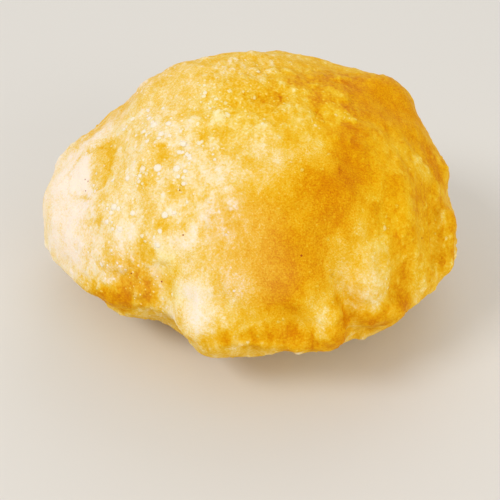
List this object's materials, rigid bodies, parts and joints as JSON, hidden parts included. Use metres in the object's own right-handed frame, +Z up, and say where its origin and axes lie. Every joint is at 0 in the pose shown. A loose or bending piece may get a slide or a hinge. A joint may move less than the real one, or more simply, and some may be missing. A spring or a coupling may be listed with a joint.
{
  "type": "bhatura",
  "caption": "Large puffed fried flatbread with a golden, blistered skin, a soft seam all round and a small flat spot to rest on.",
  "frame": {"origin": "middle of the bottom of the bread's box, on the surface it rests on", "axes": "+X to the bread's right along its greatest width, +Y to its back, +Z up through its crown"},
  "size_m": [0.27, 0.246, 0.152],
  "materials": {
    "fried_dough": "satin"
  },
  "bodies": {
    "root": {"bhatura": "fried_dough"}
  },
  "joints": []
}
